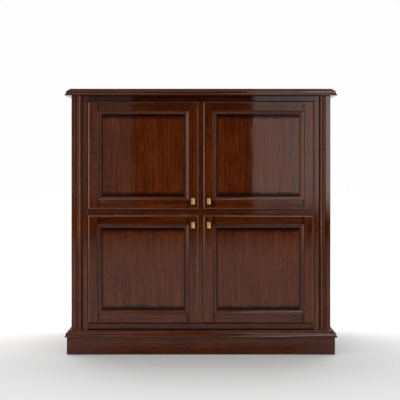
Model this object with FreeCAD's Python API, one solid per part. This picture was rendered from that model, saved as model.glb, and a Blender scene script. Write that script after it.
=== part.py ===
"""Hideaway computer desk in mahogany: a four-door cabinet on a moulded plinth that closes over a
keyboard tray, a monitor deck, pigeonholes and a lower computer bay.

Frame: millimetres, +X to the user's right, +Y to the back, +Z up. The origin is on the floor, at the
centre of the overall width and depth. Every solid is written to parts/NODE.step.
"""
import FreeCAD
import Part
import math
import os

V = FreeCAD.Vector

# ---------------------------------------------------------------- overall sizes
overall_width = 1170.0      # over the lips of the top and base mouldings
overall_depth = 600.0       # front lip to back
overall_height = 1144.0

# ---------------------------------------------------------------- carcass
top_thickness = 30.0
overhang = 26.0             # of both mouldings beyond the body, front and sides
frieze_height = 23.5
mid_rail_height = 23.0      # also the thickness of the fixed shelf behind it
bottom_rail_height = 29.5
plinth_height = 75.0
base_moulding_height = 28.0
glide_height = 2.0
glide_radius = 12.0
glide_inset = 15.0          # of a glide's centre from the boards round it
rail_setback = 1.0          # of the rails behind the pilaster faces
pilaster_width = 70.0
pilaster_thickness = 22.0
side_thickness = 20.0
side_stile_width = 64.0
side_rail_height = 66.0
board_thickness = 18.0
back_thickness = 6.0
back_rebate = 10.0          # how far the back panels run into the side stiles
back_inset = 2.0
plinth_board_thickness = 18.0
plinth_setback = 8.5        # of the plinth boards behind the moulding's lip
corner_block_size = 45.0
stretcher_glide_margin = 1.0
moulding_bar_width = 40.0   # of the bars that carry both edge mouldings
top_lip_height = 4.5
base_lip_height = 4.0
arris = 1.2                 # softened edge on every board that shows

# ---------------------------------------------------------------- pilaster reeding, from the outer edge
reed_outer_flat = 20.5
narrow_bead_width = 8.0
broad_bead_width = 14.0
reed_cove_width = 6.0       # between the broad bead and the inner flat
bead_drop = 0.5             # of the beads' crowns below the flats
quirk_depth = 4.5           # where two curves meet

# ---------------------------------------------------------------- doors
door_gap = 2.0
closing_gap = 20.0          # between the doors of a pair
door_thickness = 20.0
door_proud = 5.0            # of the doors in front of the pilasters
door_edge_radius = 6.0
stile_width = 40.0
rail_height = 37.5
panel_recess = 10.0         # of the panel behind the door's face
panel_thickness = 6.0
groove_depth = 8.0
groove_clearance = 0.3
panel_moulding_width = 20.5
strip_lap = 15.0            # of the closing strip behind its own door
strip_thickness = 8.0
strip_face_setback = 8.0    # of the strip's nose behind the door's face

# ---------------------------------------------------------------- pivot hinges
pivot_from_edge = 18.0
pivot_from_rail_face = 5.5
leaf_radius = 4.0
leaf_reach = 40.0           # from the pivot to the centre of the leaf's far end
leaf_thickness = 2.5
pivot_pin_radius = 2.5
pivot_running_clearance = 0.05
pivot_pin_depth = 6.0       # below the door's edge
pin_pocket_side_play = 0.5
pin_pocket_end_play = 1.0
washer_radius = 4.0
washer_clearance = 0.1
leaf_screw_spots = (15.0, 33.0)
screw_radius = 1.6
screw_head_radius = 2.7
screw_head_depth = 1.4
screw_length = 10.0

# ---------------------------------------------------------------- knobs and catches
knob_width = 17.5
knob_height = 28.5
knob_face_thickness = 6.5
knob_projection = 18.5
knob_neck_radius = 4.2
knob_collar_radius = 7.5
knob_collar_thickness = 1.8
knob_from_centre = 34.0
upper_knob_from_end = 35.0  # from the upper door's bottom edge
lower_knob_from_end = 41.0  # from the lower door's top edge
knob_bevel = 1.6
knob_screw_radius = 2.0
knob_screw_bite = 8.0
knob_screw_head_radius = 4.2
knob_screw_head_height = 2.4
knob_screw_clearance = 0.2
catch_width = 46.0
catch_height = 13.0
catch_depth = 20.0
catch_from_centre = 90.0
strike_thickness = 1.5
strike_gap = 0.3
strike_margin = 4.0         # of the strike inside each end of the catch
strike_edge = 1.0           # of the strike inside the catch's height
catch_corner_radius = 1.5

# ---------------------------------------------------------------- inside
keyboard_clearance = 59.0   # between the tray board and the monitor deck
side_bay_width = 157.0      # pigeonholes on each side of the monitor
lower_bay_width = 273.0     # computer bay on the left, shelves on the right
dado_depth = 6.0
shelf_setback = 26.0        # of shelves and deck behind the doors
partition_setback = 6.0
pigeonhole_count = 4
pigeonhole_shelf_thickness = 14.0
lower_shelf_count = 2
shelf_side_clearance = 0.5
shelf_pin_radius = 2.5
shelf_pin_length = 15.0
shelf_pin_bite = 8.0
shelf_pin_inset = 23.0      # of the pins from a shelf's front edge, and from its back
shelf_back_gap = 4.0
port_radius = 30.0
grommet_wall = 3.0
grommet_flange = 5.0
grommet_flange_thickness = 2.0
grommet_clearance = 0.3
port_from_back = 60.0
port_from_partition = 60.0
vent_count = 6
vent_width = 130.0
vent_height = 7.0
vent_pitch = 18.0
vent_top_drop = 150.0       # of the highest vent below the fixed shelf

# ---------------------------------------------------------------- keyboard tray
tray_thickness = 16.0
tray_depth = 330.0
tray_travel = 280.0
tray_clearance = 6.0        # under the runners and the tray front, above the fixed shelf
tray_front_height = 34.0
tray_front_thickness = 16.0
tray_front_clearance = 1.5  # between the tray front and the partitions
tray_rear_stop_height = 14.0
runner_width = 12.5
runner_height = 34.0
runner_overlap = 60.0       # of the runner members when the tray is right out
runner_wall = 1.3
runner_play = 0.35
runner_channel_share = 0.62 # of the runner's width that the outer channel's lips cover
cleat_width = 30.0

# ---------------------------------------------------------------- places worked out from the sizes
half_width = overall_width / 2
front_lip = -overall_depth / 2
back_plane = overall_depth / 2
body_half = half_width - overhang
body_front = front_lip + overhang
opening_half = body_half - pilaster_width
rail_front = body_front + rail_setback
rail_back = body_front + pilaster_thickness
inner_half = body_half - side_thickness
back_panel_front = back_plane - back_inset - back_thickness

ledge_z = plinth_height + base_moulding_height
lower_opening_z = ledge_z + bottom_rail_height
top_underside = overall_height - top_thickness
frieze_z = top_underside - frieze_height
door_height = (frieze_z - lower_opening_z - mid_rail_height - 4 * door_gap) / 2
lower_door_z = lower_opening_z + door_gap
mid_rail_z = lower_door_z + door_height + door_gap
mid_shelf_top = mid_rail_z + mid_rail_height
upper_door_z = mid_shelf_top + door_gap

door_face = body_front - door_proud
door_back = door_face + door_thickness
door_outer = opening_half - door_gap
door_inner = closing_gap / 2
panel_front = door_face + panel_recess
pivot_x = door_outer - pivot_from_edge
pivot_y = rail_front + pivot_from_rail_face

partition_outer = inner_half - side_bay_width
partition_inner = partition_outer - board_thickness
lower_partition_outer = inner_half - lower_bay_width
lower_partition_inner = lower_partition_outer - board_thickness
shelf_front = door_back + shelf_setback
partition_front = door_back + partition_setback
tray_z = mid_shelf_top + tray_clearance + max(runner_height, tray_front_height) - tray_thickness
deck_z = tray_z + tray_thickness + keyboard_clearance
deck_height = deck_z + board_thickness
tray_half = partition_inner - runner_width
tray_front = shelf_front
runner_z = tray_z + tray_thickness - runner_height
runner_length = tray_travel + runner_overlap
port_y = back_panel_front - port_from_back
grommet_bore = port_radius - grommet_wall


# ---------------------------------------------------------------- shape helpers
def block(x0, x1, y0, y1, z0, z1):
    """A plain board between two corners."""
    return Part.makeBox(x1 - x0, y1 - y0, z1 - z0, V(x0, y0, z0))


def rod(radius, length, base, direction):
    return Part.makeCylinder(radius, length, base, direction)


def mirrored(shape):
    """The same piece on the other side of the cabinet."""
    return shape.mirror(V(0, 0, 0), V(1, 0, 0))


def both_sides(shape):
    return [shape, mirrored(shape)]


def lies_on(edge, axis, value):
    """True for an edge whose every point has that coordinate."""
    return all(abs(getattr(v.Point, axis) - value) < 1e-4 for v in edge.Vertexes)


def soften(shape, radius, *planes):
    """Rounds the straight edges that lie on two of the planes, each plane an (axis, value) pair."""
    edges = [
        e for e in shape.Edges
        if sum(lies_on(e, axis, value) for axis, value in planes) >= 2
    ]
    return shape.makeFillet(radius, edges) if edges else shape


def soft_block(x0, x1, y0, y1, z0, z1, faces, radius=arris):
    """A board whose edges round each named face are softened. Faces are named like "-y" or "+z"."""
    board = block(x0, x1, y0, y1, z0, z1)
    corner = {"-x": x0, "+x": x1, "-y": y0, "+y": y1, "-z": z0, "+z": z1}
    edges = [
        e for e in board.Edges
        if any(lies_on(e, face[1], corner[face]) for face in faces.split())
    ]
    return board.makeFillet(radius, edges)


def cut_all(shape, tools):
    """The shape with every tool that reaches its box cut away."""
    near = [t for t in tools if shape.BoundBox.intersect(t.BoundBox)]
    return shape.cut(near) if near else shape


def polyline_face(items, place):
    """A face from a closed profile. An item is a point, or an arc's (middle point, end point)."""
    edges = []
    start = here = place(*items[0])
    for item in items[1:]:
        if isinstance(item[0], tuple):
            middle, end = place(*item[0]), place(*item[1])
            edges.append(Part.Arc(here, middle, end).toShape())
        else:
            end = place(*item)
            edges.append(Part.LineSegment(here, end).toShape())
        here = end
    edges.append(Part.LineSegment(here, start).toShape())
    return Part.Face(Part.Wire(edges))


def slot_plate(x, y, z, length, radius, thickness):
    """A plate with two round ends, its long axis along +X."""
    plate = block(x, x + length, y - radius, y + radius, z, z + thickness)
    for end in (x, x + length):
        plate = plate.fuse(rod(radius, thickness, V(end, y, z), V(0, 0, 1)))
    return plate.removeSplitter()


def write(name, *solids):
    """Writes one node: each argument is a closed solid, or a list of them."""
    flat = []
    for item in solids:
        flat.extend(item if isinstance(item, list) else [item])
    shape = flat[0] if len(flat) == 1 else Part.makeCompound(flat)
    shape.exportStep(os.path.join("parts", name + ".step"))


# ---------------------------------------------------------------- edge mouldings of the top and the base
def top_profile():
    """Section of the top's edge as (outward, up) points: lip, cove, flat ovolo and top fillet."""
    bar, height, lip = moulding_bar_width, top_thickness, top_lip_height
    return [
        (0.0, 0.0),
        (bar - 1.0, 0.0),
        ((bar - 0.3, 0.3), (bar, 1.0)),
        (bar, lip - 1.0),
        ((bar - 0.3, lip - 0.3), (bar - 1.0, lip)),
        ((bar - 3.6, lip + 3.0), (bar - 5.0, lip + 8.5)),
        (bar - 6.4, height - 11.0),
        ((bar - 12.2, height - 6.4), (bar - 17.8, height - 3.8)),
        (bar - 18.6, height - 3.8),
        (bar - 18.6, height - 1.0),
        ((bar - 18.9, height - 0.3), (bar - 19.6, height)),
        (0.0, height),
    ]


def base_profile():
    """Section of the base's edge as (outward, up) points: lip, hollow, round, quirk and top fillet."""
    bar, height, lip = moulding_bar_width, base_moulding_height, base_lip_height
    return [
        (0.0, 0.0),
        (bar - 1.0, 0.0),
        ((bar - 0.3, 0.3), (bar, 1.0)),
        (bar, lip),
        ((bar - 2.2, lip + 3.4), (bar - 3.6, lip + 7.6)),
        ((bar - 5.4, height - 10.0), (bar - 10.5, height - 6.5)),
        (bar - 12.2, height - 7.2),
        (bar - 12.2, height - 2.4),
        ((bar - 12.9, height - 0.7), (bar - 14.6, height)),
        (0.0, height),
    ]


def mitre_wedge(x0, x1, y0, y1, lean, z0, z1):
    """A wedge of plan x0..x1 at y0 that widens by lean on both sides at y1."""
    corners = [
        V(x0, y0, z0), V(x1, y0, z0), V(x1 + lean, y1, z0), V(x0 - lean, y1, z0), V(x0, y0, z0)
    ]
    return Part.Face(Part.makePolygon(corners)).extrude(V(0, 0, z1 - z0))


def edge_moulding(profile, height, z):
    """Front length and two returns, mitred at the front corners."""
    bar = moulding_bar_width
    inner_x = half_width - bar
    inner_y = front_lip + bar
    front_face = polyline_face(profile, lambda u, v: V(-half_width, inner_y - u, z + v))
    front = front_face.extrude(V(overall_width, 0, 0))
    wedge = mitre_wedge(-inner_x, inner_x, inner_y, front_lip, bar, z, z + height)
    side_face = polyline_face(profile, lambda u, v: V(inner_x + u, front_lip, z + v))
    side = side_face.extrude(V(0, overall_depth, 0))
    mitre_corner = [
        V(inner_x, inner_y, z), V(half_width, front_lip, z), V(half_width, back_plane, z),
        V(inner_x, back_plane, z), V(inner_x, inner_y, z),
    ]
    side = side.common(Part.Face(Part.makePolygon(mitre_corner)).extrude(V(0, 0, height)))
    return [front.common(wedge), *both_sides(side)]


# ---------------------------------------------------------------- fasteners
def wood_screw(x, y, z, up):
    """A countersunk screw whose head is flush at z and whose shank runs into the wood."""
    way = V(0, 0, 1 if up else -1)
    head = Part.makeCone(screw_head_radius, screw_radius, screw_head_depth, V(x, y, z), way)
    shank = rod(screw_radius, screw_length, V(x, y, z), way)
    return head.fuse(shank).removeSplitter()


def pivot_hinge(x, z_door, z_rail, door_is_below):
    """The two leaves of one pivot hinge of a left-hand door, with washer and screws."""
    to_rail = 1 if door_is_below else -1
    axis = V(0, 0, to_rail)
    rail_leaf_z = z_rail if door_is_below else z_rail - leaf_thickness
    door_leaf_z = z_door - leaf_thickness if door_is_below else z_door
    rail_plate = slot_plate(x, pivot_y, rail_leaf_z, leaf_reach, leaf_radius, leaf_thickness)
    door_plate = slot_plate(x, pivot_y, door_leaf_z, leaf_reach, leaf_radius, leaf_thickness)
    pin_foot = V(x, pivot_y, z_door - to_rail * pivot_pin_depth)
    pin_length = pivot_pin_depth + abs(z_rail - z_door) + leaf_thickness / 2
    pin = rod(pivot_pin_radius, pin_length, pin_foot, axis)
    leaf_hole = rod(pivot_pin_radius + pivot_running_clearance, leaf_thickness,
                    V(x, pivot_y, door_leaf_z), V(0, 0, 1))
    washer_foot = V(x, pivot_y, z_door + to_rail * washer_clearance)
    washer_height = abs(z_rail - z_door) - 2 * washer_clearance
    washer = rod(washer_radius, washer_height, washer_foot, axis).cut(
        rod(pivot_pin_radius + pivot_running_clearance, washer_height, washer_foot, axis))
    pocket_depth = pivot_pin_depth + pin_pocket_end_play
    pin_pocket = rod(pivot_pin_radius + pin_pocket_side_play, pocket_depth,
                     V(x, pivot_y, z_door - to_rail * pocket_depth), axis)
    rail_screws = [wood_screw(x + s, pivot_y, z_rail, door_is_below) for s in leaf_screw_spots]
    door_screws = [wood_screw(x + s, pivot_y, z_door, not door_is_below) for s in leaf_screw_spots]
    return {
        "rail": [rail_plate.fuse(pin).removeSplitter().cut(rail_screws), washer, *rail_screws],
        "door": [door_plate.cut([leaf_hole, *door_screws]), *door_screws],
        "rail_cuts": [rail_plate, *rail_screws],
        "door_cuts": [door_plate, pin_pocket, *door_screws],
    }


def hinges_of(door_z):
    """Both hinges of the left-hand door that starts at door_z."""
    door_top = door_z + door_height
    return [
        pivot_hinge(-pivot_x, door_z, door_z - door_gap, False),
        pivot_hinge(-pivot_x, door_top, door_top + door_gap, True),
    ]


# ---------------------------------------------------------------- doors, all made left-handed
def door_stile(x0, x1, z0, z1, groove_x, outer_x):
    stile = block(x0, x1, door_face, door_back, z0, z1)
    inner_x = x0 if outer_x == x1 else x1
    outer_planes = [("y", door_face), ("x", outer_x), ("z", z0), ("z", z1)]
    long_edges = [
        e for e in stile.Edges
        if lies_on(e, "y", door_face) and not lies_on(e, "x", inner_x)
        and any(lies_on(e, axis, value) for axis, value in outer_planes[1:])
    ]
    stile = stile.makeFillet(door_edge_radius, long_edges)
    groove = block(min(groove_x, inner_x), max(groove_x, inner_x), panel_front,
                   panel_front + panel_thickness, z0, z1)
    return stile.cut(groove)


def door_rail(x0, x1, z0, z1, outer_z):
    rail = block(x0, x1, door_face, door_back, z0, z1)
    rail = soften(rail, door_edge_radius, ("y", door_face), ("z", outer_z))
    inner_z = z0 if outer_z == z1 else z1
    groove_z = inner_z + (groove_depth if inner_z == z0 else -groove_depth)
    rail = rail.cut(block(x0, x1, panel_front, panel_front + panel_thickness,
                          min(inner_z, groove_z), max(inner_z, groove_z)))
    tenon_z0 = z0 + (groove_depth if inner_z == z0 else 0)
    tenon_z1 = z1 - (groove_depth if inner_z == z1 else 0)
    reach = groove_depth - groove_clearance
    tenon = block(x0 - reach, x1 + reach, panel_front, panel_front + panel_thickness,
                  tenon_z0 + groove_clearance, tenon_z1 - groove_clearance)
    return rail.fuse(tenon).removeSplitter()


def panel_moulding_profile():
    """(inward from the frame, behind the door's face) points of the bead, cove and fillet."""
    width = panel_moulding_width
    foot = panel_recess
    return [
        (0.0, foot),
        (0.0, 2.4),
        ((2.6, 0.9), (5.2, 2.9)),
        (5.2, 4.6),
        ((9.5, 7.4), (width - 5.0, 8.2)),
        (width - 2.0, 8.2),
        ((width - 0.6, 8.8), (width, foot)),
    ]


def panel_moulding(x0, x1, z0, z1):
    """Four mitred lengths round a panel opening."""
    width = panel_moulding_width + 0.01
    profile = panel_moulding_profile()
    lengths = []
    for (a, b), (c, d) in (((x0, z0), (x1, z0)), ((x1, z0), (x1, z1)),
                           ((x1, z1), (x0, z1)), ((x0, z1), (x0, z0))):
        along = V(c - a, 0, d - b)
        inward = V(-(d - b), 0, c - a).normalize()
        origin = V(a, door_face, b)
        face = polyline_face(profile, lambda u, v: origin + inward * u + V(0, v, 0))
        bar = face.extrude(along)
        step = V(along).normalize() * width + inward * width
        back_step = V(along).normalize() * -width + inward * width
        plan = Part.makePolygon([
            origin, origin + along, origin + along + back_step, origin + step, origin
        ])
        lengths.append(bar.common(Part.Face(plan).extrude(V(0, panel_recess, 0))))
    return lengths


def knob_parts(z):
    """The knob and its screw, and what they cut from the stile."""
    x = -knob_from_centre
    face_y = door_face - knob_projection
    face = block(x - knob_width / 2, x + knob_width / 2, face_y, face_y + knob_face_thickness,
                 z - knob_height / 2, z + knob_height / 2)
    front_edges = [e for e in face.Edges if lies_on(e, "y", face_y)]
    face = face.makeChamfer(knob_bevel, front_edges)
    back = V(0, 1, 0)
    neck = rod(knob_neck_radius, knob_projection - knob_face_thickness,
               V(x, face_y + knob_face_thickness, z), back)
    collar = rod(knob_collar_radius, knob_collar_thickness,
                 V(x, door_face - knob_collar_thickness, z), back)
    thread = rod(knob_screw_radius, knob_screw_bite, V(x, door_face - knob_screw_bite, z), back)
    knob = face.fuse([neck, collar]).removeSplitter().cut(thread)
    shank = rod(knob_screw_radius, knob_screw_bite + door_thickness,
                V(x, door_face - knob_screw_bite, z), back)
    head = rod(knob_screw_head_radius, knob_screw_head_height, V(x, door_back, z), back)
    hole = rod(knob_screw_radius + knob_screw_clearance, door_thickness, V(x, door_face, z), back)
    return [knob, shank.fuse(head).removeSplitter()], hole


def strike_plate(z_top):
    """The steel plate on a door's back that meets the magnetic catch."""
    x = -catch_from_centre
    half = catch_width / 2 - strike_margin
    return block(x - half, x + half, door_back, door_back + strike_thickness,
                 z_top - catch_height + strike_edge, z_top - strike_edge)


def closing_strip(z0, z1):
    """A rebated strip on the left door's closing edge that fills the gap to the right door."""
    lap = block(-door_inner - strip_lap, door_inner - door_gap, door_back,
                door_back + strip_thickness, z0, z1)
    nose = block(-door_inner, door_inner - door_gap, door_face + strip_face_setback, door_back, z0, z1)
    strip = lap.fuse(nose).removeSplitter()
    return soften(strip, arris, ("y", door_face + strip_face_setback), ("x", door_inner - door_gap))


def door(name, is_left, z0, knob_z, catch_z):
    """Writes every node of one door."""
    z1 = z0 + door_height
    left, right = -door_outer, -door_inner
    frame_x0, frame_x1 = left + stile_width, right - stile_width
    frame_z0, frame_z1 = z0 + rail_height, z1 - rail_height
    stiles = [
        door_stile(left, frame_x0, z0, z1, frame_x0 - groove_depth, left),
        door_stile(frame_x1, right, z0, z1, frame_x1 + groove_depth, right),
    ]
    rails = [
        door_rail(frame_x0, frame_x1, z0, frame_z0, z0),
        door_rail(frame_x0, frame_x1, frame_z1, z1, z1),
    ]
    seat = groove_depth - groove_clearance
    panel = block(frame_x0 - seat, frame_x1 + seat, panel_front, panel_front + panel_thickness,
                  frame_z0 - seat, frame_z1 + seat)
    knob, knob_hole = knob_parts(knob_z)
    hinges = hinges_of(z0)
    cuts = [knob_hole, *[c for h in hinges for c in h["door_cuts"]]]
    strike = strike_plate(catch_z)
    nodes = {
        "stiles": [cut_all(s, cuts) for s in stiles],
        "rails": [cut_all(r, cuts) for r in rails],
        "panel": [panel],
        "panel_moulding": panel_moulding(frame_x0, frame_x1, frame_z0, frame_z1),
        "knob": knob,
        "fittings": [*[p for h in hinges for p in h["door"]], strike],
    }
    for part, solids in nodes.items():
        write(name + "_" + part, solids if is_left else [mirrored(s) for s in solids])
    if is_left:
        write(name + "_closing_strip", closing_strip(z0, z1))


# ---------------------------------------------------------------- carcass pieces
def pilaster():
    """The right-hand reeded pilaster, from its plan profile."""
    bead_1 = reed_outer_flat + 1.0
    bead_2 = bead_1 + narrow_bead_width
    cove = bead_2 + broad_bead_width
    inner_flat = cove + reed_cove_width
    profile = [
        (0.0, pilaster_thickness),
        (0.0, 1.5),
        ((0.44, 0.44), (1.5, 0.0)),
        (reed_outer_flat, 0.0),
        (bead_1, quirk_depth),
        ((bead_1 + narrow_bead_width / 2, bead_drop + 0.7), (bead_2, quirk_depth)),
        ((bead_2 + broad_bead_width / 2, bead_drop), (cove, quirk_depth)),
        ((cove + reed_cove_width * 0.6, quirk_depth * 0.75), (inner_flat, 0.0)),
        (pilaster_width - 1.5, 0.0),
        ((pilaster_width - 0.44, 0.44), (pilaster_width, 1.5)),
        (pilaster_width, pilaster_thickness),
    ]
    face = polyline_face(profile, lambda u, d: V(body_half - u, body_front + d, ledge_z))
    return face.extrude(V(0, 0, top_underside - ledge_z))


def front_rail(z0, z1, cuts):
    rail = block(-opening_half, opening_half, rail_front, rail_back, z0, z1)
    edges = [e for e in rail.Edges if lies_on(e, "y", rail_front)]
    return cut_all(rail.makeFillet(arris, edges), cuts)


def side_frame():
    """Right-hand side: stiles, rails and panels of a framed side with two panels."""
    x0, x1 = inner_half, body_half
    y0 = body_front + pilaster_thickness
    y1 = back_plane
    stile_1, stile_2 = y0 + side_stile_width, y1 - side_stile_width
    groove_x = (x0 + x1) / 2 - panel_thickness / 2
    groove = (groove_x, groove_x + panel_thickness)
    z0, z1 = ledge_z, top_underside
    mid_z0 = mid_rail_z + mid_rail_height / 2 - side_rail_height / 2
    mid_z1 = mid_z0 + side_rail_height

    front_stile = block(x0, x1, y0, stile_1, z0, z1)
    front_stile = soften(front_stile, arris, ("x", x1), ("y", y0), ("y", stile_1))
    front_stile = front_stile.cut(block(*groove, stile_1 - groove_depth, stile_1, z0, z1))
    back_stile = block(x0, x1, stile_2, y1, z0, z1)
    back_stile = soften(back_stile, arris, ("x", x1), ("y", stile_2), ("y", y1))
    rebate = block(x0, x0 + back_rebate, back_panel_front, y1, z0, z1)
    back_stile = back_stile.cut([block(*groove, stile_2, stile_2 + groove_depth, z0, z1), rebate])

    seat = groove_depth - groove_clearance
    rails, panels = [], []
    for a, b in ((z0, z0 + side_rail_height), (mid_z0, mid_z1), (z1 - side_rail_height, z1)):
        rail = block(x0, x1, stile_1, stile_2, a, b)
        rail = soften(rail, arris, ("x", x1), ("z", a), ("z", b), ("y", stile_1), ("y", stile_2))
        tenon_a, tenon_b = a, b
        if a > z0:
            rail = rail.cut(block(*groove, stile_1, stile_2, a, a + groove_depth))
            tenon_a = a + groove_depth
        if b < z1:
            rail = rail.cut(block(*groove, stile_1, stile_2, b - groove_depth, b))
            tenon_b = b - groove_depth
        tenon = block(*groove, stile_1 - seat, stile_2 + seat,
                      tenon_a + groove_clearance, tenon_b - groove_clearance)
        rails.append(rail.fuse(tenon).removeSplitter())
    for a, b in ((z0 + side_rail_height, mid_z0), (mid_z1, z1 - side_rail_height)):
        panels.append(block(*groove, stile_1 - seat, stile_2 + seat, a - seat, b + seat))
    return [front_stile, back_stile], rails, panels


def grommet(x, y, z, thickness, axis):
    """A plastic sleeve with one flange. (x, y, z) is the centre of the hole in the flanged face."""
    back = V(axis).multiply(-1)
    flange = rod(port_radius + grommet_flange, grommet_flange_thickness, V(x, y, z), axis)
    sleeve = rod(port_radius - grommet_clearance, thickness, V(x, y, z), back)
    bore = rod(grommet_bore, thickness + grommet_flange_thickness, V(x, y, z) + back * thickness, axis)
    return flange.fuse(sleeve).removeSplitter().cut(bore)


def shelf_pins_at(x_wall, into_right, y, z):
    """One shelf pin whose bore runs into the wall at x_wall; it carries a shelf at z."""
    start = x_wall - (shelf_pin_length - shelf_pin_bite) if into_right else x_wall - shelf_pin_bite
    return rod(shelf_pin_radius, shelf_pin_length, V(start, y, z - shelf_pin_radius), V(1, 0, 0))


def shelves_between(x0, x1, z0, z1, count, thickness):
    """Evenly spaced adjustable shelves on four pins each, between two walls."""
    shelves, pins = [], []
    y0, y1 = shelf_front, back_panel_front - shelf_back_gap
    clear = (z1 - z0 - count * thickness) / (count + 1)
    for i in range(count):
        z = z0 + clear + i * (clear + thickness)
        shelves.append(soft_block(x0 + shelf_side_clearance, x1 - shelf_side_clearance,
                                  y0, y1, z, z + thickness, "-y"))
        for y in (y0 + shelf_pin_inset, y1 - shelf_pin_inset):
            pins.append(shelf_pins_at(x0, False, y, z))
            pins.append(shelf_pins_at(x1, True, y, z))
    return shelves, pins


# ---------------------------------------------------------------- tray runners, made for the right side
def runner_channel(x_back, opens_left, half_height, depth, z_mid, wall):
    """A C channel along Y whose web is at x_back."""
    way = -1 if opens_left else 1
    x_front = x_back + way * depth
    x_web = x_back + way * wall
    y0, y1 = tray_front + tray_front_thickness, tray_front + tray_front_thickness + runner_length
    outer = block(min(x_back, x_front), max(x_back, x_front), y0, y1,
                  z_mid - half_height, z_mid + half_height)
    inner = block(min(x_web, x_front), max(x_web, x_front), y0, y1,
                  z_mid - half_height + wall, z_mid + half_height - wall)
    return outer.cut(inner)


def tray_runner():
    """Cabinet, middle and tray members of the right-hand runner."""
    z_mid = runner_z + runner_height / 2
    wall, play = runner_wall, runner_play
    channel_depth = runner_width * runner_channel_share
    cabinet = runner_channel(partition_inner, True, runner_height / 2, channel_depth, z_mid, wall)
    middle_half = runner_height / 2 - wall - play
    middle_web = partition_inner - wall - play
    middle = runner_channel(middle_web, True, middle_half, channel_depth - wall, z_mid, wall)
    tray_member_half = middle_half - wall - play
    tray_member = runner_channel(tray_half, False, tray_member_half,
                                 runner_width - 2 * (wall + play), z_mid, wall)
    return cabinet, middle, tray_member


# ---------------------------------------------------------------- building and writing
def build_top():
    inner_x = half_width - moulding_bar_width
    inner_y = front_lip + moulding_bar_width
    write("top_board", block(-inner_x, inner_x, inner_y, back_plane, top_underside, overall_height))
    write("top_edge_moulding", edge_moulding(top_profile(), top_thickness, top_underside))
    write("sub_top", block(-inner_half, inner_half, rail_back, back_panel_front, frieze_z, top_underside))


def build_base():
    bar_x = half_width - moulding_bar_width
    back_bar = block(-bar_x, bar_x, back_plane - moulding_bar_width, back_plane, plinth_height, ledge_z)
    moulding = edge_moulding(base_profile(), base_moulding_height, plinth_height)
    write("base_moulding", moulding, back_bar)
    outer_x = half_width - plinth_setback
    outer_y = front_lip + plinth_setback
    t = plinth_board_thickness
    z0, z1 = glide_height, plinth_height
    front = soft_block(-outer_x, outer_x, outer_y, outer_y + t, z0, z1, "-y")
    side = soft_block(outer_x - t, outer_x, outer_y + t, back_plane - t, z0, z1, "+x")
    back = block(-outer_x, outer_x, back_plane - t, back_plane, z0, z1)
    write("plinth_boards", front, back, both_sides(side))
    inner_x, inner_y = outer_x - t, outer_y + t
    blocks, glides = [], []
    for y_corner, way in ((inner_y, 1), (back_plane - t, -1)):
        y_far = y_corner + way * corner_block_size
        corner = [V(inner_x, y_corner, z0), V(inner_x - corner_block_size, y_corner, z0),
                  V(inner_x, y_far, z0), V(inner_x, y_corner, z0)]
        blocks.extend(both_sides(Part.Face(Part.makePolygon(corner)).extrude(V(0, 0, z1 - z0))))
        glide_y = y_corner + way * glide_inset
        glides.extend(both_sides(rod(glide_radius, glide_height,
                                     V(inner_x - glide_inset, glide_y, 0), V(0, 0, 1))))
    stretcher = block(-t / 2, t / 2, inner_y, back_plane - t, z0, z1)
    glides.extend(rod(t / 2 - stretcher_glide_margin, glide_height, V(0, y, 0), V(0, 0, 1))
                  for y in (inner_y + glide_inset, back_plane - t - glide_inset))
    write("plinth_blocks_and_stretcher", blocks, stretcher)
    write("floor_glides", glides)


def build_front_frame():
    hinges = hinges_of(lower_door_z) + hinges_of(upper_door_z)
    cuts = [c for h in hinges for c in h["rail_cuts"]]
    cuts += [mirrored(c) for c in cuts]
    write("frieze_rail", front_rail(frieze_z, top_underside, cuts))
    write("mid_rail", front_rail(mid_rail_z, mid_shelf_top, cuts))
    write("bottom_rail", front_rail(ledge_z, lower_opening_z, cuts))
    right = pilaster()
    write("right_pilaster", right)
    write("left_pilaster", mirrored(right))
    leaves = [p for h in hinges for p in h["rail"]]
    write("frame_hinge_leaves", leaves, [mirrored(p) for p in leaves])
    catches = []
    for ceiling in (mid_rail_z, frieze_z):
        y0 = door_back + strike_thickness + strike_gap
        catch = block(catch_from_centre - catch_width / 2, catch_from_centre + catch_width / 2,
                      y0, y0 + catch_depth, ceiling - catch_height, ceiling)
        edges = [e for e in catch.Edges if lies_on(e, "z", ceiling - catch_height)]
        catches.extend(both_sides(catch.makeFillet(catch_corner_radius, edges)))
    write("magnetic_catches", catches)


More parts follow.
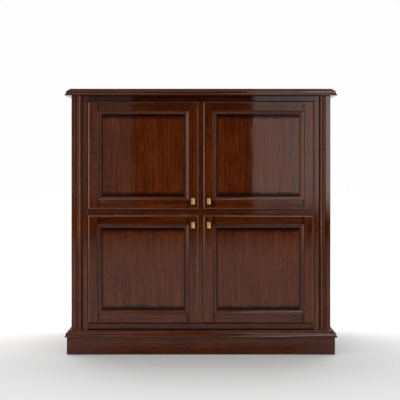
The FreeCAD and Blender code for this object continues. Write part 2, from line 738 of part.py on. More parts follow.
def build_boards(side_stiles):
    """Shelves, partitions, deck, back panels, grommets and pins. Returns the drilled side stiles."""
    back = back_panel_front
    right_shelves, right_pins = shelves_between(
        partition_outer, inner_half, mid_shelf_top, frieze_z, pigeonhole_count - 1,
        pigeonhole_shelf_thickness)
    pigeonhole_shelves = [s for shelf in right_shelves for s in both_sides(shelf)]
    pins = [p for pin in right_pins for p in both_sides(pin)]
    lower_shelves, lower_pins = shelves_between(
        lower_partition_outer, inner_half, lower_opening_z, mid_rail_z, lower_shelf_count,
        board_thickness)
    pins += lower_pins

    port_tool = rod(port_radius, deck_height - mid_rail_z, V(0, port_y, mid_rail_z), V(0, 0, 1))
    mid_shelf = block(-inner_half, inner_half, rail_back, back, mid_rail_z, mid_shelf_top).cut(port_tool)
    write("mid_shelf", mid_shelf)
    write("bottom_board", block(-inner_half, inner_half, rail_back, back,
                                lower_opening_z - board_thickness, lower_opening_z))
    deck = soft_block(-partition_inner - dado_depth, partition_inner + dado_depth, shelf_front, back,
                      deck_z, deck_height, "-y").cut(port_tool)
    write("monitor_deck", deck)

    partition = soft_block(partition_inner, partition_outer, partition_front, back,
                           mid_shelf_top, frieze_z, "-y")
    partition = cut_all(partition, pins)
    dado = block(partition_inner, partition_inner + dado_depth, shelf_front, back, deck_z, deck_height)
    write("upper_partitions", both_sides(partition.cut(dado)))
    lower = soft_block(lower_partition_inner, lower_partition_outer, partition_front, back,
                       lower_opening_z, mid_rail_z, "-y")
    cable_hole = rod(port_radius, board_thickness, V(lower_partition_inner, port_y,
                                                     mid_rail_z - 2 * port_radius), V(1, 0, 0))
    lower = lower.cut(cable_hole)
    write("lower_partitions", cut_all(lower, pins), mirrored(lower))
    write("pigeonhole_shelves", pigeonhole_shelves)
    write("lower_shelves", lower_shelves)
    write("shelf_pins", pins)

    half = inner_half + back_rebate - groove_clearance
    split = (mid_rail_z + mid_shelf_top) / 2
    lower_bay = (lower_partition_outer + inner_half) / 2
    upper_port = V(partition_inner - port_from_partition, back, deck_height + 2 * port_radius)
    lower_ports = [V(x, back, mid_rail_z - 2 * port_radius) for x in (-lower_bay, lower_bay)]
    ports = [rod(port_radius, back_thickness, p, V(0, 1, 0)) for p in (upper_port, *lower_ports)]
    vents = [
        block(-lower_bay - vent_width / 2, -lower_bay + vent_width / 2, back, back + back_thickness,
              mid_rail_z - vent_top_drop - i * vent_pitch - vent_height,
              mid_rail_z - vent_top_drop - i * vent_pitch)
        for i in range(vent_count)
    ]
    upper = block(-half, half, back, back + back_thickness, split, top_underside)
    lower = block(-half, half, back, back + back_thickness, ledge_z, split)
    write("upper_back_panel", upper.cut(ports[:1]))
    write("lower_back_panel", lower.cut(ports[1:] + vents))
    grommets = [
        grommet(0, port_y, deck_height, board_thickness, V(0, 0, 1)),
        grommet(0, port_y, mid_shelf_top, mid_rail_height, V(0, 0, 1)),
    ]
    for p in (upper_port, *lower_ports):
        grommets.append(grommet(p.x, back + back_thickness, p.z, back_thickness, V(0, 1, 0)))
    write("cable_grommets", grommets)
    return [cut_all(s, pins) for s in side_stiles]


def build_tray():
    """The sliding tray, its cleats and front, and the runners on both sides."""
    back = tray_front + tray_depth
    y0 = tray_front + tray_front_thickness
    top = tray_z + tray_thickness
    board = block(-tray_half, tray_half, y0, back, tray_z, top)
    write("keyboard_tray_board", board)
    front_half = partition_inner - tray_front_clearance
    front = soft_block(-front_half, front_half, tray_front, y0, top - tray_front_height, top, "-y +z")
    write("keyboard_tray_front", front)
    cleat = block(tray_half - cleat_width, tray_half, y0, back, runner_z, tray_z)
    stop = soft_block(-tray_half, tray_half, back - board_thickness / 2, back, top,
                      top + tray_rear_stop_height, "-y +z")
    write("keyboard_tray_cleats_and_stop", both_sides(cleat), stop)
    cabinet, middle, tray_member = tray_runner()
    write("cabinet_runners", both_sides(cabinet))
    write("middle_runners", both_sides(middle))
    write("tray_runners", both_sides(tray_member))


def build_doors():
    for level, z0, from_top in (("upper", upper_door_z, False), ("lower", lower_door_z, True)):
        top = z0 + door_height
        knob_z = top - lower_knob_from_end if from_top else z0 + upper_knob_from_end
        catch_z = top + door_gap
        for hand in ("left", "right"):
            door(level + "_" + hand + "_door", hand == "left", z0, knob_z, catch_z)


def main():
    os.makedirs("parts", exist_ok=True)
    build_top()
    build_base()
    build_front_frame()
    right_stiles, right_rails, right_panels = side_frame()
    stiles = right_stiles + [mirrored(s) for s in right_stiles]
    write("side_stiles", build_boards(stiles))
    write("side_rails", right_rails, [mirrored(r) for r in right_rails])
    write("side_panels", right_panels, [mirrored(p) for p in right_panels])
    build_tray()
    build_doors()


main()
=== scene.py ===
"""Finishes, knobs and studio for the hideaway computer desk, laid out as a Blender add-on."""

import math

import bmesh
import bpy
from bpy.props import FloatProperty, FloatVectorProperty, PointerProperty
from bpy.types import Operator, Panel, PropertyGroup
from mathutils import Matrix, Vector


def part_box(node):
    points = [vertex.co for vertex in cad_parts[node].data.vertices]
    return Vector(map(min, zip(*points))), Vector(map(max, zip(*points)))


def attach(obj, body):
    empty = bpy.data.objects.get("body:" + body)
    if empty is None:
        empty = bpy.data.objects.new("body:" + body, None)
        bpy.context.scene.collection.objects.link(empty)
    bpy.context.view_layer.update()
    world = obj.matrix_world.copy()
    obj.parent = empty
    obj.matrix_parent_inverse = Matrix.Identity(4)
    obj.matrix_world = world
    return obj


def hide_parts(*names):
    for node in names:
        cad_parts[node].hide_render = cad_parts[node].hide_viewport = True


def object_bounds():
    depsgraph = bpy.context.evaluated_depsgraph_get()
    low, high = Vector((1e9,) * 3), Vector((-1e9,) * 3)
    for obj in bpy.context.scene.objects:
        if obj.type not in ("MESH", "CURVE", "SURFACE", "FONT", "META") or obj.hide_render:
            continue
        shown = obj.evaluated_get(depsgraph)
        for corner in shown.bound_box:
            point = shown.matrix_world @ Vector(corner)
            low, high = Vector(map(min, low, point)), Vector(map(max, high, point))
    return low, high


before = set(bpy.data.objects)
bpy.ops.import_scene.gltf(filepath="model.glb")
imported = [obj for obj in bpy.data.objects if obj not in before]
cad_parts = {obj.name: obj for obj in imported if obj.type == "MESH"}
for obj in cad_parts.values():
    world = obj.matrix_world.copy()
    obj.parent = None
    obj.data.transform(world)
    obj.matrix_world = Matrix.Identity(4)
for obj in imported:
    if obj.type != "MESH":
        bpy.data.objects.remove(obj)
cad_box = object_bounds()

bl_info = {
    "name": "Hideaway Desk Finishes",
    "version": (1, 0, 0),
    "blender": (4, 5, 0),
    "location": "View3D > Sidebar > Desk",
    "description": "Mahogany, brass and studio for a four-door hideaway computer desk",
    "category": "Object",
}

DOORS = ("upper_left_door", "upper_right_door", "lower_left_door", "lower_right_door")

# Lengths, in metres.
SIDE_THICKNESS = 0.020
MOULDING_WIDTH = 0.0205
REED_HOLLOWS = ((0.0200, 0.0220), (0.0285, 0.0305), (0.0420, 0.0500))
KNOB_THICKNESS = 0.0065
KNOB_EDGE = 0.0018
KNOB_STEP = 0.0012
OVERLAP = 0.0005

# Where the glaze, the painted shade, the knobs' patina and the plinth's dull lacquer start and end, in
# metres.
PATINA_AND_SHADE = (0.0008, 0.0022)
QUIRK_START, QUIRK_END = (0.0048, 0.0060), (0.0078, 0.0095)
MOULDING_FOOT = (0.0140, 0.0165)
MITRE = (-0.001, 0.001)
REED_SOFTNESS = 0.0012
PANEL_SIDE = (-0.001, 0.008)
PANEL_END = 0.001
PANEL_END_REACH = (0.018, 0.030)
RAIL_END_REACH = 0.020
RAIL_FOOT_SHADE, RAIL_SHADE = (0.003, 0.011), (0.024, 0.0285)
PLINTH_FOOT, PLINTH_ENDS = (0.010, 0.062), (0.25, 0.50)

# The wood's figure, from broad to fine: scale across, scale along, detail, roughness,
# distortion, seed and share. The fine lines also raise the surface.
BROAD_FIGURE = (26.0, 0.7, 3.0, 0.5, 0.3, 0.0, 0.18)
GRAIN_LINES = (150.0, 4.5, 3.0, 0.55, 0.1, 7.3, 0.30)
FINE_LINES = (560.0, 28.0, 2.0, 0.6, 0.0, 2.1, 0.38)
BLOTCHES = (9.0, 6.0, 4.0, 0.6, 0.5, 1.7, 0.16)
FIGURE_SPREAD = 0.10
FINE_LINE_HEIGHT = 0.00008
LACQUER_RIPPLE = 0.00004
LACQUER_IOR = 1.4
WOOD_ROUGHNESS = 0.45
PORES = (1500.0, 45.0)
PORE_DEPTH = 0.40

# The soft boxes that the lacquer mirrors, as slopes from straight ahead.
GAP_LEFT, GAP_RIGHT = -0.0719, 0.0567
GAP_SOFTNESS = 0.0012
BOX_FOOT = -0.045
BOX_FOOT_SOFTNESS = 0.02
BOX_END = (0.16, 0.20)
BROAD_LIGHT_START = (0.20, 0.34)
BEHIND = (-0.25, 0.1)

# Where the right soft box brightens towards its far side, and how much.
BRIGHTER = (0.085, 0.12, 1.0, 1.35)
BRIGHTEST = (0.127, 0.133, 1.0, 2.1)

# Camera, floor and background.
SENSOR_WIDTH = 36.0
FLOOR_REACH = 30.0
FLOOR_GLOW = 0.30
GREY_BEFORE, WHITE_BEHIND = 0.50, 0.90
FLOOR_FRONT, FLOOR_SIDES = (-8.5, -4.0), (3.0, 6.0)
BACKGROUND = 0.99

# Lamp above and behind the desk.
LAMP_SIZE = (3.0, 1.6)
LAMP_POWER = 85.0
LAMP_PLACE = (0.0, 0.9, 3.4)
LAMP_TILT = -15.0


# ---------------------------------------------------------------- node helpers
class Web:
    """A material's node tree, with short names for the nodes that the finishes use."""

    def __init__(self, name):
        self.material = bpy.data.materials.new(name)
        self.material.use_nodes = True
        self.tree = self.material.node_tree
        self.shader = self.tree.nodes["Principled BSDF"]

    def node(self, kind, links=None, **settings):
        made = self.tree.nodes.new("ShaderNode" + kind)
        for key, value in settings.items():
            setattr(made, key, value)
        for key, value in (links or {}).items():
            self.feed(made.inputs[key], value)
        return made

    def feed(self, socket, value):
        if isinstance(value, bpy.types.NodeSocket):
            self.tree.links.new(value, socket)
        else:
            socket.default_value = value

    def math(self, operation, *values):
        return self.node("Math", dict(enumerate(values)), operation=operation).outputs[0]

    def place(self):
        """Object coordinates, in metres."""
        return self.node("TexCoord").outputs["Object"]

    def position(self):
        """Object coordinates as three separate values."""
        return self.node("SeparateXYZ", {0: self.place()}).outputs[:3]

    def size(self, value):
        """The value without its sign."""
        return self.math("ABSOLUTE", value)

    def vector(self, x, y, z):
        return self.node("CombineXYZ", {0: x, 1: y, 2: z}).outputs[0]

    def noise(self, vector, scale, detail=3.0, roughness=0.5, distortion=0.0, offset=0.0):
        placed = self.node("Mapping", {"Vector": vector, "Location": (offset,) * 3, "Scale": scale})
        links = {
            "Vector": placed.outputs[0], "Scale": 1.0, "Detail": detail,
            "Roughness": roughness, "Distortion": distortion,
        }
        return self.node("TexNoise", links).outputs[0]

    def fade(self, value, low, high, to_low=0.0, to_high=1.0):
        """Smooth change from to_low, where value is low, to to_high, where it is high."""
        links = {0: value, 1: low, 2: high, 3: to_low, 4: to_high}
        return self.node("MapRange", links, interpolation_type="SMOOTHSTEP").outputs[0]

    def band(self, value, start, end, softness):
        """1 where value lies from start to end, and 0 elsewhere."""
        rise = self.fade(value, start - softness, start + softness)
        fall = self.fade(value, end - softness, end + softness, 1.0, 0.0)
        return self.math("MULTIPLY", rise, fall)

    def blend(self, share, first, second):
        made = self.node("Mix", data_type="RGBA")
        for index, value in ((0, share), (6, first), (7, second)):
            self.feed(made.inputs[index], value)
        return made.outputs[2]

    def pick(self, share, first, second):
        """The first number where share is 0, and the second where it is 1."""
        made = self.node("Mix", data_type="FLOAT")
        for index, value in ((0, share), (2, first), (3, second)):
            self.feed(made.inputs[index], value)
        return made.outputs[0]

    def ramp(self, share, *stops):
        made = self.node("ValToRGB", {0: share})
        steps = made.color_ramp.elements
        while len(steps) < len(stops):
            steps.new(0.5)
        for step, (place, colour) in zip(steps, stops):
            step.position = place
            step.color = (*colour, 1.0)
        return made.outputs[0]

    def bump(self, height, distance, strength=1.0):
        links = {"Height": height, "Distance": distance, "Strength": strength}
        return self.node("Bump", links).outputs[0]

    def set(self, **values):
        for name, value in values.items():
            self.feed(self.shader.inputs[name.replace("_", " ")], value)


def finish(material, *nodes):
    """Gives CAD nodes a material in place of their plain one."""
    for name in nodes:
        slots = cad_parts[name].material_slots
        for slot in slots:
            slot.material = material


def nodes_ending(*endings):
    return [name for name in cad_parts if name.endswith(endings)]


# ---------------------------------------------------------------- settings
class WoodSettings(PropertyGroup):
    """Colours and gloss of the stained mahogany."""

    deep: FloatVectorProperty(
        name="Deep grain", description="Colour of the darkest grain", subtype="COLOR",
        default=(0.042, 0.0066, 0.0013), min=0.0, max=1.0)
    body: FloatVectorProperty(
        name="Body", description="Main colour of the stained wood", subtype="COLOR",
        default=(0.082, 0.0155, 0.0033), min=0.0, max=1.0)
    bright: FloatVectorProperty(
        name="Bright grain", description="Colour of the lightest grain", subtype="COLOR",
        default=(0.142, 0.0305, 0.0068), min=0.0, max=1.0)
    # Dark glaze in joints, also used as painted shade in corners, hollows and under overhangs.
    glaze_and_shade: FloatVectorProperty(
        name="Glaze", description="Dark glaze left in corners and hollows", subtype="COLOR",
        default=(0.0100, 0.0036, 0.0024), min=0.0, max=1.0)
    # Lighter colour of the rounded edges: rubbed stain, and a painted highlight.
    rubbed_and_highlight: FloatVectorProperty(
        name="Rubbed edges", description="Colour where handling has thinned the stain", subtype="COLOR",
        default=(0.235, 0.110, 0.075), min=0.0, max=1.0)
    gloss: FloatProperty(
        name="Lacquer roughness", description="Roughness of the clear lacquer", default=0.03,
        min=0.0, max=1.0, subtype="FACTOR")


class BrassSettings(PropertyGroup):
    """Colours of the aged brass and the shape of a knob's face."""

    bright: FloatVectorProperty(
        name="Rubbed brass", description="Brass where hands keep it bright", subtype="COLOR",
        default=(0.42, 0.345, 0.18), min=0.0, max=1.0)
    aged: FloatVectorProperty(
        name="Aged brass", description="Brass dulled by age", subtype="COLOR",
        default=(0.32, 0.26, 0.125), min=0.0, max=1.0)
    rim: FloatProperty(
        name="Rim width", description="Width of the raised rim round a knob's face",
        default=0.0022, min=0.0, unit="LENGTH")
    dish: FloatProperty(
        name="Dish depth", description="How far the middle of a knob's face lies below its rim",
        default=0.0008, min=0.0, unit="LENGTH")


class StudioSettings(PropertyGroup):
    """Camera, floor and lights."""

    lens: FloatProperty(
        name="Lens", description="Focal length in millimetres", default=85.0, min=10.0)
    eye_height: FloatProperty(
        name="Eye height", description="Height of the camera above the floor",
        default=0.82, unit="LENGTH")
    picture_width: FloatProperty(
        name="Picture width", description="Width that the picture takes in at the desk's front",
        default=1.7155, unit="LENGTH")
    picture_centre: FloatVectorProperty(
        name="Picture centre", description="Sideways place and height of the picture's centre",
        size=2, default=(-0.004, 0.6653), unit="LENGTH")
    floor_grey: FloatProperty(
        name="Floor grey", description="Brightness of the floor before the desk",
        default=0.50, min=0.0, max=1.0, subtype="FACTOR")
    ambient: FloatProperty(
        name="Ambient", description="Even light from all round", default=0.80, min=0.0)
    left_box: FloatProperty(
        name="Left soft box", description="Brightness of the reflection on the left",
        default=0.38, min=0.0)
    right_box: FloatProperty(
        name="Right soft box", description="Brightness of the reflection on the right",
        default=1.50, min=0.0)
    left_light: FloatProperty(
        name="Left light", description="Brightness of the broad light on the left, seen in edges",
        default=4.0, min=0.0)
    edge_colour: FloatVectorProperty(
        name="Edge light colour", description="Colour of the broad lights seen in edges",
        subtype="COLOR", default=(1.0, 0.68, 0.52), min=0.0, max=1.0)
    right_light: FloatProperty(
        name="Right light", description="Brightness of the broad light on the right, seen in edges",
        default=0.7, min=0.0)
    overhead: FloatProperty(
        name="Overhead light", description="Brightness of the overhead light, seen in edges",
        default=0.7, min=0.0)


def settings():
    scene = bpy.context.scene
    return scene.desk_wood, scene.desk_brass, scene.desk_studio


# ---------------------------------------------------------------- mahogany
# A grain function turns Object coordinates so that the third value runs along the grain.
def grain_along(axis):
    """Straight grain along one axis."""

    def turn(web):
        x, y, z = web.position()
        turned = {"x": (y, z, x), "y": (x, z, y), "z": (x, y, z)}
        return web.vector(*turned[axis])

    return turn


def grain_round_plan(box):
    """Grain of a moulding that runs along X at the front and along Y at the sides, with mitres."""

    def turn(web):
        x, y, z = web.position()
        low, high = box
        from_side = web.math("SUBTRACT", high[0], web.size(x))
        from_front = web.math("SUBTRACT", y, low[1])
        is_side = web.math("LESS_THAN", from_side, from_front)
        return web.vector(web.pick(is_side, y, x), z, web.pick(is_side, x, y))

    return turn


def grain_round_panel(tier):
    """Grain of the four mitred lengths round a door's panel."""

    def turn(web):
        x, y, z = web.position()
        from_side, from_end = door_opening(web, tier)
        is_upright = web.math("LESS_THAN", from_side, from_end)
        return web.vector(web.pick(is_upright, z, x), y, web.pick(is_upright, x, z))

    return turn


def door_opening(web, tier):
    """How far inside a door's panel opening a point is, from its sides and from its ends.

    The two doors of a tier mirror each other, so both are measured from the right one.
    """
    x, _, z = web.position()
    low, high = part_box(tier + "_right_door_panel_moulding")
    across = web.size(web.math("SUBTRACT", web.size(x), (low[0] + high[0]) / 2))
    along = web.size(web.math("SUBTRACT", z, (low[2] + high[2]) / 2))
    from_side = web.math("SUBTRACT", (high[0] - low[0]) / 2, across)
    from_end = web.math("SUBTRACT", (high[2] - low[2]) / 2, along)
    return from_side, from_end


def mahogany(
        name, grain, seed=0.0, glaze_and_shade=None, tone_and_shade=1.0, gloss=None, figure=1.0, worn_and_highlit=False, coat=1.0):
    """Stained and lacquered mahogany.

    The glaze mask marks dark glaze and painted shade, the tone scales the colours and on some pieces
    darkens them as painted shade, rubbed edges are lightened for worn stain and a painted highlight,
    and coat is the lacquer's weight or a mask for it.
    """
    wood, _, _ = settings()
    web = Web(name)
    where = grain(web)
    total = 0.0
    layers = []
    for across, along, detail, roughness, distortion, shift, share in (
            BROAD_FIGURE, GRAIN_LINES, FINE_LINES, BLOTCHES):
        scale = (across, across, along)
        layer = web.noise(where, scale, detail, roughness, distortion, seed + shift)
        layers.append(layer)
        total = web.math("ADD", total, web.math("MULTIPLY", layer, share))
    spread = FIGURE_SPREAD / figure
    colour = web.ramp(
        total,
        (0.5 - spread, [c * tone_and_shade for c in wood.deep]),
        (0.5, [c * tone_and_shade for c in wood.body]),
        (0.5 + spread, [c * tone_and_shade for c in wood.bright]),
    )
    pores = web.noise(where, (PORES[0], PORES[0], PORES[1]), 1.0, 0.5, 0.0, seed + 4.4)
    pores = web.fade(pores, 0.60, 0.72, 0.0, PORE_DEPTH)
    colour = web.blend(pores, colour, (*wood.deep, 1.0))
    lacquer = coat(web) if callable(coat) else coat
    # Dark glaze and painted shade darken the colour and dull the lacquer.
    if glaze_and_shade:
        glaze_and_shade_mask = glaze_and_shade(web)
        colour = web.blend(glaze_and_shade_mask, colour, (*wood.glaze_and_shade, 1.0))
        lacquer = web.math("MULTIPLY", lacquer, web.fade(glaze_and_shade_mask, 0.2, 0.9, 1.0, 0.25))
    # Rounded edges are lightened as rubbed stain and as a painted highlight.
    if worn_and_highlit:
        colour = web.blend(worn_and_highlit_edges(web, where, seed), colour, (*wood.rubbed_and_highlight, 1.0))
    ripple = web.noise(where, (30.0, 30.0, 12.0), 1.0, 0.5, 0.0, seed + 9.0)
    web.set(
        Base_Color=colour, Roughness=WOOD_ROUGHNESS, Specular_IOR_Level=0.0,
        Coat_Weight=lacquer, Coat_IOR=LACQUER_IOR, Coat_Roughness=gloss or wood.gloss,
        Normal=web.bump(layers[2], FINE_LINE_HEIGHT),
        Coat_Normal=web.bump(ripple, LACQUER_RIPPLE),
    )
    return web.material


# ---------------------------------------------------------------- masks for the mahogany
def outer_faces(web):
    """Lacquer on the outside of the cabinet's sides only: their inner faces are left matt."""
    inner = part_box("side_rails")[1][0] - SIDE_THICKNESS
    return web.fade(web.size(web.position()[0]), inner + 0.0005, inner + 0.002)


def pilaster_faces(web):
    """Lacquer on the pilasters' faces only: the edges beside the doors are left matt."""
    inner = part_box("right_pilaster")[0][0]
    return web.fade(web.size(web.position()[0]), inner + 0.0003, inner + 0.0012)


def plinth_polish(web):
    """Lacquer that dust and feet have dulled along the plinth's foot, least at its ends."""
    x, _, z = web.position()
    height = web.fade(z, *PLINTH_FOOT, 0.40, 1.0)
    ends = web.fade(web.size(x), *PLINTH_ENDS)
    return web.math("MAXIMUM", height, ends)


def painted_foot_shade(web):
    """Painted shade along the foot of the bottom rail, and under the doors."""
    height = web.math("SUBTRACT", web.position()[2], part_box("bottom_rail")[0][2])
    below = web.fade(height, *RAIL_FOOT_SHADE, 0.95, 0.0)
    above = web.fade(height, *RAIL_SHADE, 0.0, 0.7)
    return web.math("MAXIMUM", below, above)


def worn_and_highlit_edges(web, where, seed):
    """Rounded front edges, where handling has rubbed the stain thin; the lighter colour there also
    paints a highlight.
    """
    normal = web.node("TexCoord").outputs["Normal"]
    facing = web.size(web.node("SeparateXYZ", {0: normal}).outputs[1])
    turned = web.math(
        "MULTIPLY", web.fade(facing, 0.80, 0.97, 1.0, 0.0), web.fade(facing, 0.30, 0.55))
    patchy = web.noise(where, (25.0, 25.0, 10.0), 3.0, 0.6, 0.0, seed + 5.8)
    return web.math("MULTIPLY", turned, web.fade(patchy, 0.30, 0.65, 0.35, 0.90))


def rail_glaze_and_shade(tier, overhang_shade):
    """Glaze at the ends of a door's rails, next to the stiles, and a painted shadow of the top's
    overhang along its top rail.
    """

    def mask(web):
        from_side, _ = door_opening(web, tier)
        z = web.position()[2]
        mottle = web.noise(web.place(), (120.0, 120.0, 120.0), 3.0, 0.6)
        near = web.fade(from_side, 0.0, RAIL_END_REACH, 0.95, 0.0)
        near = web.math("MULTIPLY", near, web.fade(mottle, 0.35, 0.60, 0.35, 1.0))
        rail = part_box(tier + "_right_door_panel_moulding")[1][2]
        # Painted shadow of the top's overhang along the top rail.
        return web.math("MAXIMUM", near, web.fade(z, rail - 0.001, rail + 0.001, 0.0, overhang_shade))

    return mask


def painted_panel_shade(tier):
    """Painted shade round a door's panel, where the frame and moulding shade it, widest along the top
    and the bottom.
    """

    def mask(web):
        from_side, from_end = door_opening(web, tier)
        side = web.math("SUBTRACT", from_side, MOULDING_WIDTH)
        side = web.fade(side, *PANEL_SIDE, 0.75, 0.0)
        drift = web.noise(web.place(), (40.0, 40.0, 40.0), 3.0, 0.6)
        reach = web.fade(drift, 0.3, 0.7, *PANEL_END_REACH)
        end = web.math("SUBTRACT", from_end, MOULDING_WIDTH)
        end = web.fade(end, PANEL_END, reach, 0.97, 0.0)
        return web.math("MAXIMUM", side, end)

    return mask


def painted_moulding_shade(tier):
    """Painted shade in the quirk and along the foot of a door's panel moulding."""

    def mask(web):
        from_side, from_end = door_opening(web, tier)
        inward = web.math("MINIMUM", from_side, from_end)
        rise = web.fade(inward, *QUIRK_START)
        fall = web.fade(inward, *QUIRK_END, 1.0, 0.0)
        quirk = web.math("MULTIPLY", rise, fall)
        foot = web.fade(inward, *MOULDING_FOOT)
        ends = web.fade(web.math("SUBTRACT", from_side, from_end), *MITRE, 0.60, 0.97)
        quirk = web.math("MULTIPLY", quirk, 0.60)
        return web.math("ADD", quirk, web.math("MULTIPLY", foot, ends))

    return mask


def painted_reed_shade(web):
    """Painted shade in the pilasters' hollows, which lie at set distances from their outer edges."""
    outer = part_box("right_pilaster")[1][0]
    inward = web.math("SUBTRACT", outer, web.size(web.position()[0]))
    total = 0.0
    for start, end in REED_HOLLOWS:
        total = web.math("MAXIMUM", total, web.band(inward, start, end, REED_SOFTNESS))
    return web.math("MULTIPLY", total, 0.85)


# ---------------------------------------------------------------- other finishes
def knob_patina_and_shade(web):
    """Dark patina and painted shade round the knobs' faces. The four knobs mirror each other, so one is
    measured.
    """
    x, _, z = web.position()
    low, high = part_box("upper_right_door_knob")
    middle = (low[2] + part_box("lower_right_door_knob")[1][2]) / 2
    beside = web.math("SUBTRACT", web.size(x), (low[0] + high[0]) / 2)
    above = web.size(web.math("SUBTRACT", z, middle))
    above = web.math("SUBTRACT", above, (low[2] + high[2]) / 2 - middle)
    from_side = web.math("SUBTRACT", (high[0] - low[0]) / 2, web.size(beside))
    from_end = web.math("SUBTRACT", (high[2] - low[2]) / 2, web.size(above))
    inward = web.math("MINIMUM", from_side, from_end)
    return web.fade(inward, *PATINA_AND_SHADE, 1.0, 0.0)


def aged_brass(name):
    """Brass of the knobs, rubbed bright in patches."""
    _, brass, _ = settings()
    web = Web(name)
    patches = web.noise(web.place(), (160.0, 160.0, 160.0), 4.0, 0.6)
    brushing = web.noise(web.place(), (2600.0, 400.0, 60.0), 2.0, 0.5)
    colour = web.ramp(patches, (0.36, brass.aged), (0.62, brass.bright))
    # Dark edges on each knob: patina, and a painted shade that outlines the knob.
    colour = web.blend(knob_patina_and_shade(web), colour, (0.060, 0.045, 0.022, 1.0))
    web.set(
        Base_Color=colour, Metallic=1.0, Roughness=web.fade(patches, 0.3, 0.7, 0.46, 0.36),
        Normal=web.bump(brushing, 0.00003))
    return web.material


def darkened_brass(name):
    """Brass of the hinges and strikes, darkened by age."""
    web = Web(name)
    patches = web.noise(web.place(), (220.0, 220.0, 220.0), 3.0, 0.6)
    colour = web.ramp(patches, (0.35, (0.030, 0.021, 0.013)), (0.65, (0.085, 0.058, 0.032)))
    web.set(
        Base_Color=colour, Metallic=1.0, Roughness=web.fade(patches, 0.3, 0.7, 0.55, 0.40),
        Normal=web.bump(patches, 0.00003))
    return web.material


def zinc_plate(name):
    """Zinc-plated steel of the runners and pins."""
    web = Web(name)
    rolled = web.noise(web.place(), (900.0, 30.0, 900.0), 2.0, 0.5)
    colour = web.ramp(rolled, (0.3, (0.42, 0.43, 0.44)), (0.7, (0.60, 0.61, 0.62)))
    web.set(
        Base_Color=colour, Metallic=1.0, Roughness=web.fade(rolled, 0.3, 0.7, 0.28, 0.42),
        Normal=web.bump(rolled, 0.00002))
    return web.material


def moulded_plastic(name, colour, light):
    """Plain plastic with a fine moulded texture."""
    web = Web(name)
    grit = web.noise(web.place(), (1500.0, 1500.0, 1500.0), 2.0, 0.6)
    shade = web.ramp(grit, (0.3, colour), (0.7, light))
    web.set(
        Base_Color=shade, Roughness=web.fade(grit, 0.3, 0.7, 0.48, 0.62),
        Normal=web.bump(grit, 0.00006))
    return web.material


# ---------------------------------------------------------------- knobs
def knob_mesh(name, node):
    """A knob with a raised rim and dished face, its neck, collar and screw, in the CAD knob's place."""
    low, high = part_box(node)
    stile_low, stile_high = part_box(node.replace("_knob", "_stiles"))
    face_y, door_y, back_y = low[1], stile_low[1], stile_high[1]
    centre = Vector(((low[0] + high[0]) / 2, 0.0, (low[2] + high[2]) / 2))
    mesh = bmesh.new()
    knob_block(mesh, high[0] - low[0], high[2] - low[2])
    middle = (centre.x, face_y + KNOB_THICKNESS / 2, centre.z)
    bmesh.ops.translate(mesh, vec=middle, verts=mesh.verts)
    turned_stem(mesh, centre, face_y + KNOB_THICKNESS, door_y)
    screw(mesh, centre, door_y, back_y, high[1])
    bmesh.ops.recalc_face_normals(mesh, faces=mesh.faces)
    data = bpy.data.meshes.new(name)
    mesh.to_mesh(data)
    mesh.free()
    piece = bpy.data.objects.new(name, data)
    bpy.context.scene.collection.objects.link(piece)
    return piece


def knob_block(mesh, width, height):
    """The knob's rounded block, centred on the origin, with its rim and dish towards -Y."""
    _, brass, _ = settings()
    made = bmesh.ops.create_cube(mesh, size=1.0)
    bmesh.ops.scale(mesh, vec=(width, KNOB_THICKNESS, height), verts=made["verts"])
    front = min(mesh.faces, key=lambda face: face.calc_center_median().y)
    back = max(mesh.faces, key=lambda face: face.calc_center_median().y)
    outline = list(front.edges)
    bmesh.ops.inset_region(mesh, faces=[front], thickness=brass.rim, depth=0.0)
    bmesh.ops.translate(mesh, vec=(0.0, brass.dish, 0.0), verts=front.verts)
    corners = [edge for edge in mesh.edges if is_corner(edge, width / 2)]
    bmesh.ops.bevel(
        mesh, geom=outline + corners + list(back.edges), offset=KNOB_EDGE, affect="EDGES",
        segments=4, profile=0.5, material=-1)
    bmesh.ops.inset_region(mesh, faces=[front], thickness=KNOB_STEP, depth=0.0)
    bmesh.ops.translate(mesh, vec=(0.0, brass.dish * 0.5, 0.0), verts=front.verts)


def is_corner(edge, half_width):
    """Whether an edge of the block runs from front to back at one of its corners."""
    first, second = (vertex.co for vertex in edge.verts)
    runs_back = abs((first - second).normalized().y) > 0.9
    return runs_back and abs(first.x) > half_width * 0.9


def lathe(mesh, centre, profile):
    """Spins (radius, y) points round the line through centre along Y, closed at both ends."""
    points = [mesh.verts.new((centre.x + radius, y, centre.z)) for radius, y in profile]
    edges = [mesh.edges.new(pair) for pair in zip(points, points[1:])]
    bmesh.ops.spin(
        mesh, geom=points + edges, cent=centre, axis=(0.0, 1.0, 0.0), angle=math.tau, steps=32,
        use_merge=True)
    bmesh.ops.remove_doubles(mesh, verts=mesh.verts, dist=0.00001)


def turned_stem(mesh, centre, start, end):
    """The knob's waisted neck and its collar against the door."""
    length = end - start
    lathe(mesh, centre, [
        (0.0, start - OVERLAP), (0.0046, start - OVERLAP), (0.0040, start + length * 0.2),
        (0.0038, start + length * 0.5), (0.0042, start + length * 0.75), (0.0054, end - 0.0022),
        (0.0070, end - 0.0018), (0.0075, end - 0.0012), (0.0075, end), (0.0, end),
    ])


def screw(mesh, centre, door_y, back_y, head_y):
    """The machine screw through the stile, with its domed head behind the door."""
    lathe(mesh, centre, [
        (0.0, door_y + OVERLAP), (0.0020, door_y + OVERLAP), (0.0020, back_y + 0.0001),
        (0.0042, back_y + 0.0001), (0.0042, back_y + 0.0008), (0.0034, head_y - 0.0005),
        (0.0018, head_y), (0.0, head_y),
    ])


